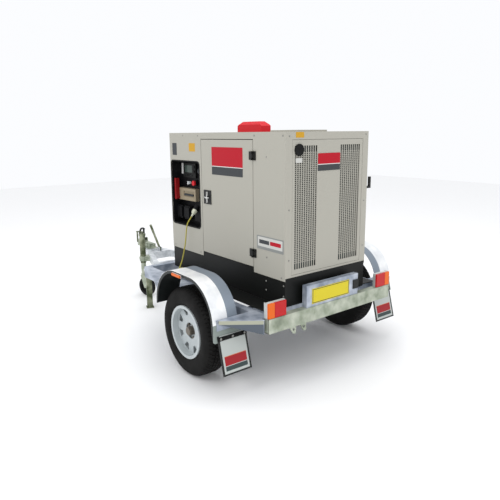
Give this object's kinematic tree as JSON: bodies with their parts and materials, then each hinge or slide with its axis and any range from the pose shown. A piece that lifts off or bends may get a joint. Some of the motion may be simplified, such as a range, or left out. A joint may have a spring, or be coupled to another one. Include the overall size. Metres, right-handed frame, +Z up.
{
  "type": "towable diesel generator",
  "caption": "Sound-proofed diesel generator in a sheet-steel canopy, standing on a single-axle galvanised trailer with drawbar, jockey wheel, support leg, mudguards and rear lamps.",
  "frame": {"origin": "middle of the whole object's length and width, on the ground", "axes": "+X towards the rear (the trailer's long axis), +Y towards the trailer's right, +Z up"},
  "size_m": [3.08, 1.809, 1.779],
  "materials": {
    "galvanised": "dull hot-dip galvanised steel",
    "black_paint": "satin black paint",
    "canopy_paint": "pale grey textured powder coat",
    "tyre_rubber": "matt black rubber",
    "white_paint": "white enamel",
    "bright_steel": "zinc-plated steel",
    "flap_plastic": null,
    "black_plastic": "matt black moulding",
    "black_rubber": "matt rubber",
    "red_plastic": "satin red moulding",
    "lens": null,
    "yellow_plate": "plain yellow plate",
    "cream_plastic": "cream moulding",
    "white_plastic": "off-white moulding",
    "lead_sheath": "smooth yellow-green sheath",
    "core_alloy": "matt black core",
    "engine_iron": "dark grey engine enamel",
    "blue_paint": "satin blue-grey paint"
  },
  "bodies": {
    "trailer": {"chassis_frame": "galvanised", "rear_beam": "galvanised", "drawbar": "galvanised", "coupling_body": "galvanised", "jockey_clamp": "galvanised", "axle": "black_paint", "leaf_springs": "black_paint", "left_mudguard": "galvanised", "right_mudguard": "galvanised", "mud_flaps": "flap_plastic", "flap_strips": "black_paint", "lamp_housings": "galvanised", "lamp_lenses": "lens", "plate_box": "black_paint", "number_plate": "yellow_plate", "base_frame": "black_paint", "mount_feet": "black_rubber", "fuel_tank": "black_plastic", "front_enclosure": "canopy_paint", "rear_enclosure": "canopy_paint", "rear_grille": "canopy_paint", "rubber_cap": "black_plastic", "roof_panel": "canopy_paint", "roof_hatch": "canopy_paint", "lifting_frame": "black_paint", "lifting_eye_cover": "red_plastic", "hinge_pins": "black_paint", "control_recess": "black_plastic", "controller": "black_plastic", "breaker_box": "cream_plastic", "sockets": "black_plastic", "plug": "white_plastic", "lead": "lead_sheath", "cable_gland": "black_plastic", "engine": "engine_iron", "alternator": "blue_paint", "radiator": "core_alloy"},
    "left_wheel": {"left_tyre": "tyre_rubber", "left_rim": "white_paint", "left_hub": "bright_steel"},
    "right_wheel": {"right_tyre": "tyre_rubber", "right_rim": "white_paint", "right_hub": "bright_steel"},
    "hitch_handle": {"coupling_latch": "black_paint"},
    "hand_brake": {"brake_lever": "black_paint"},
    "jockey_outer": {"jockey_tube": "galvanised"},
    "jockey_inner": {"jockey_inner_tube": "galvanised"},
    "jockey_winder": {"jockey_crank": "galvanised"},
    "jockey_castor": {"jockey_fork": "galvanised"},
    "jockey_roller": {"jockey_wheel": "tyre_rubber"},
    "prop": {"support_leg": "galvanised"},
    "door_left": {"left_door": "canopy_paint"},
    "door_right": {"right_door": "canopy_paint"},
    "latch_left": {"left_latch": "bright_steel"},
    "latch_right": {"right_latch": "bright_steel"},
    "isolator": {"isolator_handle": "red_plastic"},
    "stop": {"stop_button": "red_plastic"},
    "key": {"key_switch": "white_plastic"},
    "filler_cap": {"fuel_cap": "red_plastic"},
    "cooling_fan": {"fan": "white_plastic"}
  },
  "joints": [
    {"name": "left_wheel_spin", "type": "hinge", "parent": "trailer", "child": "left_wheel", "pos_m": [0.91, -0.761, 0.3207], "axis": [0, 1, 0], "continuous": true},
    {"name": "right_wheel_spin", "type": "hinge", "parent": "trailer", "child": "right_wheel", "pos_m": [0.91, 0.761, 0.3207], "axis": [0, 1, 0], "continuous": true},
    {"name": "hitch_lift", "type": "hinge", "parent": "trailer", "child": "hitch_handle", "pos_m": [-1.393, 0, 0.512], "axis": [0, 1, 0], "range_deg": [0, 30], "stiffness_Nm_per_rad": 4, "springref_deg": -34.38},
    {"name": "brake_pull", "type": "hinge", "parent": "trailer", "child": "hand_brake", "pos_m": [-1.03, 0, 0.468], "axis": [0, 1, 0], "range_deg": [0, 50]},
    {"name": "jockey_raise", "type": "slide", "parent": "trailer", "child": "jockey_outer", "axis": [0, 0, 1], "range_m": [0, 0.02]},
    {"name": "jockey_screw", "type": "slide", "parent": "jockey_outer", "child": "jockey_inner", "axis": [0, 0, 1], "range_m": [0, 0.1151]},
    {"name": "jockey_wind", "type": "hinge", "parent": "jockey_outer", "child": "jockey_winder", "pos_m": [-0.975, -0.22679, 0.679], "axis": [0, 0, 1], "range_deg": [0, 8280]},
    {"name": "jockey_swivel", "type": "hinge", "parent": "jockey_inner", "child": "jockey_castor", "pos_m": [-0.975, -0.22679, 0.226], "axis": [0, 0, 1], "continuous": true},
    {"name": "jockey_roll", "type": "hinge", "parent": "jockey_castor", "child": "jockey_roller", "pos_m": [-0.93929, -0.2138, 0.102], "axis": [-0.342, 0.9397, 0], "continuous": true},
    {"name": "prop_fold", "type": "hinge", "parent": "trailer", "child": "prop", "pos_m": [-0.57, -0.37508, 0.385], "axis": [-0.3416, -0.9398, 0], "range_deg": [0, 85]},
    {"name": "left_door_swing", "type": "hinge", "parent": "trailer", "child": "door_left", "pos_m": [1.1295, -0.4075, 1.205], "axis": [0, 0, 1], "range_deg": [0, 110]},
    {"name": "right_door_swing", "type": "hinge", "parent": "trailer", "child": "door_right", "pos_m": [1.1295, 0.4075, 1.205], "axis": [0, 0, -1], "range_deg": [0, 110]},
    {"name": "left_latch_turn", "type": "hinge", "parent": "door_left", "child": "latch_left", "pos_m": [0.563, -0.4, 1.207], "axis": [0, 1, 0], "range_deg": [0, 90]},
    {"name": "right_latch_turn", "type": "hinge", "parent": "door_right", "child": "latch_right", "pos_m": [0.563, 0.4, 1.207], "axis": [0, 1, 0], "range_deg": [0, 90]},
    {"name": "isolator_turn", "type": "hinge", "parent": "trailer", "child": "isolator", "pos_m": [0.041, -0.3485, 1.156], "axis": [0, 1, 0], "range_deg": [0, 90]},
    {"name": "stop_press", "type": "slide", "parent": "trailer", "child": "stop", "axis": [0, 1, 0], "range_m": [0, 0.006], "stiffness_N_per_m": 1500, "springref_m": -0.004},
    {"name": "key_turn", "type": "hinge", "parent": "trailer", "child": "key", "pos_m": [0.166, -0.3085, 1.286], "axis": [0, 1, 0], "range_deg": [0, 90]},
    {"name": "filler_cap_turn", "type": "hinge", "parent": "trailer", "child": "filler_cap", "pos_m": [0.56, -0.25, 0.87], "axis": [0, 0, 1], "range_deg": [0, 120]},
    {"name": "fan_spin", "type": "hinge", "parent": "trailer", "child": "cooling_fan", "pos_m": [1.01, 0, 1.135], "axis": [1, 0, 0], "continuous": true}
  ],
  "couplings": [
    {"joint": "jockey_screw", "follows": "jockey_wind", "m_per_rad": 0.00079577}
  ]
}
